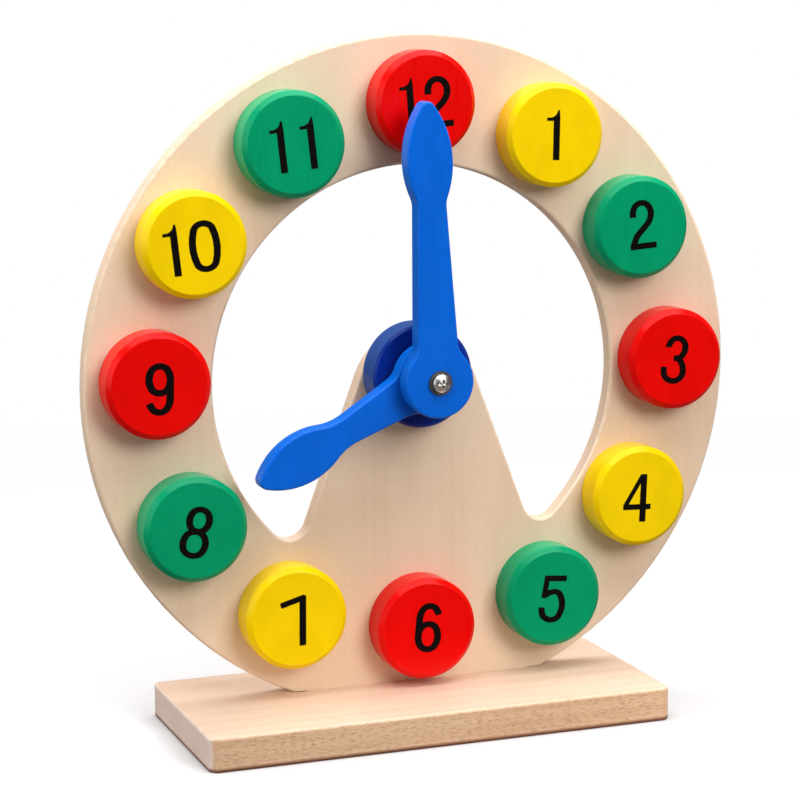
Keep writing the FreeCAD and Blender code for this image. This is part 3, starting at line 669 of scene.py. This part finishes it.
# ---------------------------------------------------------------------------------------- hands
# Two strips of plywood with a leaf-shaped tip, rounded over and painted bright blue on all sides. Both
# turn on the one screw, the minute hand in front.

BLUE = (6, 99, 214)
# Where the paint is thin it is lighter, and on the rims this is also a painted highlight.
BLUE_THIN = (52, 156, 248)
# Painted light: the sides are a little lighter than the face.
BLUE_SIDE_PAINTED_LIGHT = (8, 106, 220)
BLUE_GRAIN = 0.35

hand_paint = painted("blue_paint_gloss", BLUE, BLUE_THIN, BLUE_SIDE_PAINTED_LIGHT, BLUE_GRAIN)
for hand in ("hour_hand", "minute_hand"):
    dress(hand, hand_paint)


# ---------------------------------------------------------------------------------------- washers and screw
# A zinc-plated machine screw with a cross recess, two plain steel washers and a self-locking nut. The
# spacer washers between the wooden pieces and the nut's locking ring are pale nylon.

BRIGHT_STEEL = ((232, 229, 224), (206, 203, 198))
BRIGHT_STEEL_ROUGHNESS = (0.26, 0.36)
DULL_STEEL = ((112, 112, 108), (88, 88, 84))
DULL_STEEL_ROUGHNESS = (0.36, 0.5)
STEEL_SMEARS = ((0.7, 0.7, 0.7), 4.0, 0.35, 0.65)
STEEL_SCRATCHES = ((9.0, 9.0, 1.1), 2.0, 0.55, 0.75)
SCRATCH_RISE = 0.004

NYLON = ((232, 228, 216), (214, 209, 196))
NYLON_CLOUD = ((0.4, 0.4, 0.4), 3.0, 0.35, 0.65)
NYLON_ROUGHNESS = (0.42, 0.55)
NYLON_RISE = 0.006


def plated_steel(name, tones, roughness):
    """Zinc plate, smeared from a clean tone to a dull one, with fine scratches."""
    material, tree, shader, bump = new_finish(name)
    place = place_in_millimetres(tree)
    smears = pattern(tree, place, *STEEL_SMEARS)
    scratches = pattern(tree, place, *STEEL_SCRATCHES)
    colour = blended(tree, smears, paint_code(*tones[0]), paint_code(*tones[1]))
    join_finish(tree, shader, bump, colour, spread(tree, smears, *roughness),
                times(tree, scratches, SCRATCH_RISE))
    shader.inputs["Metallic"].default_value = 1.0
    return material


def natural_nylon():
    """Uncoloured nylon, faintly cloudy."""
    material, tree, shader, bump = new_finish("natural_nylon")
    cloud = pattern(tree, place_in_millimetres(tree), *NYLON_CLOUD)
    colour = blended(tree, cloud, paint_code(*NYLON[0]), paint_code(*NYLON[1]))
    join_finish(tree, shader, bump, colour, spread(tree, cloud, *NYLON_ROUGHNESS),
                times(tree, cloud, NYLON_RISE))
    return material


bright_steel = plated_steel("plated_steel_bright", BRIGHT_STEEL, BRIGHT_STEEL_ROUGHNESS)
for node in ("pivot_screw", "lock_nut"):
    dress(node, bright_steel)
dull_steel = plated_steel("plated_steel_dull", DULL_STEEL, DULL_STEEL_ROUGHNESS)
for node in ("front_washer", "back_washer"):
    dress(node, dull_steel)
white_nylon = natural_nylon()
for node in ("hub_washer", "hand_washer", "lock_nut_ring"):
    dress(node, white_nylon)


# ---------------------------------------------------------------------------------------- studio
# A pale floor that keeps the clock's shadow and fades to white, a white surround and three soft lamps.
# The camera sees the floor pale, while the clock is lit by a darker one.

FLOOR_SEEN = (214, 214, 216)
FLOOR_FELT = (94, 90, 88)
FLOOR_ROUGHNESS = 0.8
FLOOR_SPECULAR = 0.1
FLOOR_HALF = 4.0
FLOOR_FADES_FROM = 0.16
FLOOR_WHITE_FROM = 0.6
WHITE = (1.0, 1.0, 1.0, 1.0)


def seen_directly(tree):
    """A mask that is 1 for what the camera sees, straight or through something clear."""
    rays = add_node(tree, "LightPath").outputs
    return calculate(tree, "MAXIMUM", rays["Is Camera Ray"], rays["Is Transmission Ray"])


def studio_floor():
    """The floor's material."""
    material = bpy.data.materials.new("studio_floor")
    material.use_nodes = True
    tree = material.node_tree
    shader = tree.nodes["Principled BSDF"]
    shader.inputs["Roughness"].default_value = FLOOR_ROUGHNESS
    shader.inputs["Specular IOR Level"].default_value = FLOOR_SPECULAR
    seen = seen_directly(tree)
    colour = blended(tree, seen, paint_code(*FLOOR_FELT), paint_code(*FLOOR_SEEN))
    tree.links.new(colour, shader.inputs["Base Color"])
    where = add_node(tree, "TexCoord").outputs["Object"]
    away = add_node(tree, "VectorMath", {0: where}, operation="LENGTH").outputs["Value"]
    far = ramp(tree, away, FLOOR_FADES_FROM, FLOOR_WHITE_FROM)
    white = add_node(tree, "Emission", {"Color": WHITE, "Strength": 1.0}).outputs[0]
    sockets = {0: times(tree, seen, far), 1: shader.outputs["BSDF"], 2: white}
    faded = add_node(tree, "MixShader", sockets).outputs[0]
    tree.links.new(faded, tree.nodes["Material Output"].inputs["Surface"])
    return material


sheet = bmesh.new()
bmesh.ops.create_grid(sheet, x_segments=1, y_segments=1, size=FLOOR_HALF)
floor_mesh = bpy.data.meshes.new("studio_floor")
sheet.to_mesh(floor_mesh)
sheet.free()
floor = bpy.data.objects.new("studio_floor", floor_mesh)
bpy.context.scene.collection.objects.link(floor)
floor_mesh.materials.append(studio_floor())

# The room lights the clock faintly and warmly. What gloss mirrors of it is a glow behind the clock and a
# stronger one above.
ROOM_LIGHT = 0.18
ROOM_TINT = (1.0, 0.85, 0.74, 1.0)
GLOSS_LEAST = 0.05
GLOSS_BEHIND = 0.14
GLOSS_BEHIND_FROM = -0.1
GLOSS_BEHIND_FULL = 0.5
GLOSS_ABOVE = 0.4
GLOSS_ABOVE_FROM = 0.3
GLOSS_ABOVE_FULL = 0.75

world = bpy.data.worlds.new("studio")
bpy.context.scene.world = world
world.use_nodes = True
sky = world.node_tree
mirrored = add_node(sky, "LightPath").outputs["Is Glossy Ray"]
seen = seen_directly(sky)
outward = add_node(sky, "TexCoord").outputs["Generated"]
outward = add_node(sky, "SeparateXYZ", {"Vector": outward}).outputs
behind = times(sky, ramp(sky, outward["Y"], GLOSS_BEHIND_FROM, GLOSS_BEHIND_FULL), GLOSS_BEHIND)
above = times(sky, ramp(sky, outward["Z"], GLOSS_ABOVE_FROM, GLOSS_ABOVE_FULL), GLOSS_ABOVE)
gloss = calculate(sky, "MAXIMUM", calculate(sky, "MAXIMUM", behind, above), GLOSS_LEAST)
strength = add_node(sky, "Mix", {0: mirrored, 2: ROOM_LIGHT, 3: gloss}).outputs[0]
strength = add_node(sky, "Mix", {0: seen, 2: strength, 3: 1.0}).outputs[0]
untinted = calculate(sky, "MAXIMUM", seen, mirrored)
background = sky.nodes["Background"]
sky.links.new(strength, background.inputs["Strength"])
sky.links.new(blended(sky, untinted, ROOM_TINT, WHITE), background.inputs["Color"])

# For each lamp: its place, the width of its square in metres, and its watts. All point at the clock.
CLOCK_MIDDLE = Vector((0.0, 0.0, 0.1))
LAMPS = {
    "key_lamp": ((0.38, -1.0, 0.66), 0.6, 8.9),
    "top_lamp": ((0.02, 0.0, 0.95), 1.2, 17.5),
    "fill_lamp": ((-1.1, 0.0, 0.4), 1.0, 8.1),
}
for name, (place, width, watts) in LAMPS.items():
    lamp = bpy.data.lights.new(name, "AREA")
    lamp.shape = "SQUARE"
    lamp.size = width
    lamp.energy = watts
    holder = bpy.data.objects.new(name, lamp)
    bpy.context.scene.collection.objects.link(holder)
    holder.location = place
    holder.rotation_euler = (CLOCK_MIDDLE - Vector(place)).to_track_quat("-Z", "Y").to_euler()

bpy.context.scene.view_settings.view_transform = "Standard"


# ---------------------------------------------------------------------------------------- camera
# A long lens to the left of the clock and just higher than its top, looking down on it a little. The
# lens is shifted slightly, which sets the clock in the frame.

CAMERA_PLACE = Vector((-0.2688, -0.71391, 0.22751))
CAMERA_YAW = math.radians(20.165)
CAMERA_PITCH = math.radians(9.247)
CAMERA_ROLL = math.radians(-0.468)
FILM_WIDTH = 36.0
LENS_LENGTH = 113.22
LENS_SHIFT_ACROSS = -0.0035
LENS_SHIFT_UP = -0.0120

ahead = Vector((math.sin(CAMERA_YAW) * math.cos(CAMERA_PITCH),
                math.cos(CAMERA_YAW) * math.cos(CAMERA_PITCH),
                -math.sin(CAMERA_PITCH)))
level = Vector((math.cos(CAMERA_YAW), -math.sin(CAMERA_YAW), 0.0))
right = Matrix.Rotation(-CAMERA_ROLL, 3, ahead) @ level
upward = right.cross(ahead)
lens = bpy.data.cameras.new("camera")
lens.sensor_width = FILM_WIDTH
lens.lens = LENS_LENGTH
lens.shift_x = LENS_SHIFT_ACROSS
lens.shift_y = LENS_SHIFT_UP
camera = bpy.data.objects.new("camera", lens)
bpy.context.scene.collection.objects.link(camera)
turned = Matrix((right, upward, -ahead)).transposed().to_4x4()
camera.matrix_world = Matrix.Translation(CAMERA_PLACE) @ turned
bpy.context.scene.camera = camera
